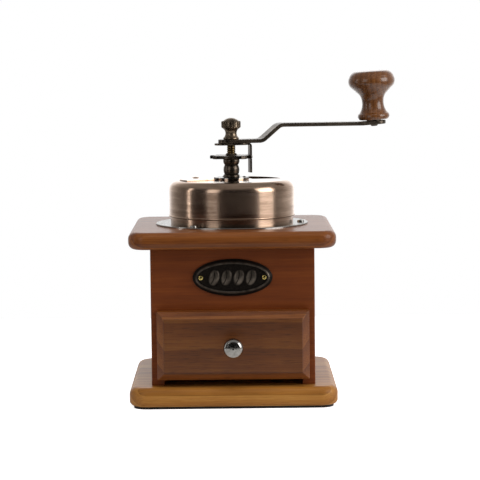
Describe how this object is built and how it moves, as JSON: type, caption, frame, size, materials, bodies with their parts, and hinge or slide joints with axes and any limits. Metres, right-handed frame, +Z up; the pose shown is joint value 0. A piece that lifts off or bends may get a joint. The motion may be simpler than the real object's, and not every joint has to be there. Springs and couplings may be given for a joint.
{
  "type": "burr coffee grinder",
  "caption": "Hand-cranked burr coffee grinder: wooden box mill with drawer, domed metal hopper and bent crank with turned wooden knob.",
  "frame": {"origin": "on the shaft's axis in the plane of the underside, which is the middle of the square base", "axes": "+Z up along the shaft, -Y out of the drawer front, +X to the right of a person facing the drawer"},
  "size_m": [0.2005, 0.1653, 0.2414],
  "materials": {
    "felt": "short-fibre dark felt",
    "base_wood": "satin lacquered golden hardwood",
    "top_wood": "satin lacquered mid-brown hardwood",
    "body_wood": "satin red-brown stained wood",
    "plain_wood": "unfinished light wood",
    "drawer_wood": "satin lacquered walnut",
    "knob_wood": "gloss lacquered turned wood",
    "plaque_bronze": "aged dark bronze casting",
    "brass": "bright brass",
    "chrome": "polished nickel-chrome plate",
    "copper_bronze": "brushed antique copper plate",
    "antique_bronze": "dark antique bronze plate",
    "thread_brass": "worn brass-plated steel",
    "cast_iron": "rough cast iron",
    "burr_steel": "ground tool steel",
    "zinc_steel": "zinc plated steel"
  },
  "bodies": {
    "root": {"felt_pad": "felt", "base_screws": "zinc_steel", "top_dowels": "plain_wood", "base_plate": "base_wood", "side_panel_left": "body_wood", "side_panel_right": "body_wood", "front_panel": "body_wood", "back_panel": "body_wood", "top_plate": "top_wood", "drawer_rails": "body_wood", "plaque": "plaque_bronze", "plaque_screws": "brass", "hopper_base_ring": "chrome", "hopper_screws": "chrome", "hopper_dome": "copper_bronze", "lid_retainer": "chrome", "retainer_rivets": "antique_bronze", "bridge_bracket": "zinc_steel", "bridge_screws": "zinc_steel", "bearing_column": "antique_bronze", "column_nut": "zinc_steel", "burr_housing": "cast_iron", "housing_screws": "zinc_steel", "outer_burr": "burr_steel"},
    "lid": {"hopper_lid": "copper_bronze"},
    "crank": {"main_shaft": "thread_brass", "inner_burr": "burr_steel", "burr_washer": "zinc_steel", "burr_nut": "zinc_steel", "spring_washer": "zinc_steel", "shaft_spring": "zinc_steel", "adjusting_wheel": "antique_bronze", "lock_plate": "antique_bronze", "crank_arm": "antique_bronze", "cap_nut": "antique_bronze", "knob_axle": "antique_bronze", "knob_washer": "antique_bronze"},
    "knob": {"handle_knob": "knob_wood", "knob_plug": "knob_wood"},
    "drawer": {"drawer_front": "drawer_wood", "drawer_inner_front": "plain_wood", "drawer_side_left": "plain_wood", "drawer_side_right": "plain_wood", "drawer_back": "plain_wood", "drawer_bottom": "plain_wood", "drawer_knob": "chrome", "drawer_knob_screw": "zinc_steel"}
  },
  "joints": [
    {"name": "crank_spin", "type": "hinge", "parent": "root", "child": "crank", "pos_m": [0, 0, 0.19], "axis": [0, 0, 1], "continuous": true},
    {"name": "knob_spin", "type": "hinge", "parent": "crank", "child": "knob", "pos_m": [0.10915, 0.02925, 0.20157], "axis": [-0.059, -0.0158, 0.9981], "continuous": true},
    {"name": "drawer_slide", "type": "slide", "parent": "root", "child": "drawer", "axis": [0, -1, 0], "range_m": [0, 0.085]},
    {"name": "lid_swing", "type": "hinge", "parent": "root", "child": "lid", "pos_m": [0, 0, 0.161], "axis": [0, 0, -1], "range_deg": [0, 110]}
  ]
}
